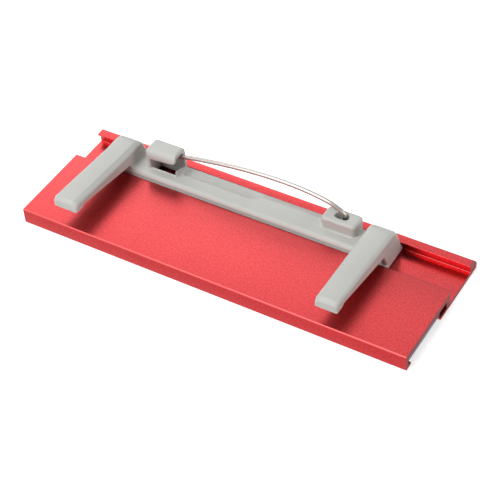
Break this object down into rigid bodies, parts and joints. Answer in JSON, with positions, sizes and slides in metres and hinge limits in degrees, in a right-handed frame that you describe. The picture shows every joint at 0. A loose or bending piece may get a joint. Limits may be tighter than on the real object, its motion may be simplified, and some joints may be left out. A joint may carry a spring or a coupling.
{
  "type": "name badge holder",
  "caption": "Name badge holder lying on its face: extruded plate with an insert slot and a dovetail channel, and a sliding moulded fastener with pocket clips and a bowed pin under a catch hood.",
  "frame": {"origin": "under the middle of the badge, on the surface that its face lies on", "axes": "+X along the badge, +Y across it towards the dovetail rail, +Z from the face to the back with the fastener"},
  "size_m": [0.075, 0.0264, 0.01],
  "materials": {
    "red_anodised": "red satin anodised",
    "grey_plastic": "moulded, satin",
    "steel_wire": "bright drawn wire",
    "white_card": "uncoated",
    "clear_plastic": "clear sheet"
  },
  "bodies": {
    "badge": {"badge_profile": "red_anodised"},
    "cover": {"clear_cover": "clear_plastic"},
    "card": {"name_card": "white_card"},
    "fastener": {"clip_bar": "grey_plastic"},
    "left_arm": {"left_clip_arm": "grey_plastic"},
    "right_arm": {"right_clip_arm": "grey_plastic"},
    "pin": {"pin_wire": "steel_wire"}
  },
  "joints": [
    {"name": "fastener_slide", "type": "slide", "parent": "badge", "child": "fastener", "axis": [1, 0, 0], "range_m": [-0.007, 0.0123]},
    {"name": "left_arm_flex", "type": "hinge", "parent": "fastener", "child": "left_arm", "pos_m": [-0.02805, 0.00347, 0.0079], "axis": [-1, 0, 0], "range_deg": [0, 8], "stiffness_Nm_per_rad": 0.5},
    {"name": "right_arm_flex", "type": "hinge", "parent": "fastener", "child": "right_arm", "pos_m": [0.02275, 0.00347, 0.0079], "axis": [-1, 0, 0], "range_deg": [0, 8], "stiffness_Nm_per_rad": 0.5},
    {"name": "pin_swing", "type": "hinge", "parent": "fastener", "child": "pin", "pos_m": [0.01545, 0.00777, 0.00645], "axis": [0, -0.4472, 0.8944], "range_deg": [0, 6.2], "stiffness_Nm_per_rad": 0.4},
    {"name": "card_slide", "type": "slide", "parent": "badge", "child": "card", "axis": [1, 0, 0], "range_m": [-0.06, 0.06]},
    {"name": "cover_slide", "type": "slide", "parent": "badge", "child": "cover", "axis": [1, 0, 0], "range_m": [-0.06, 0.06]}
  ]
}
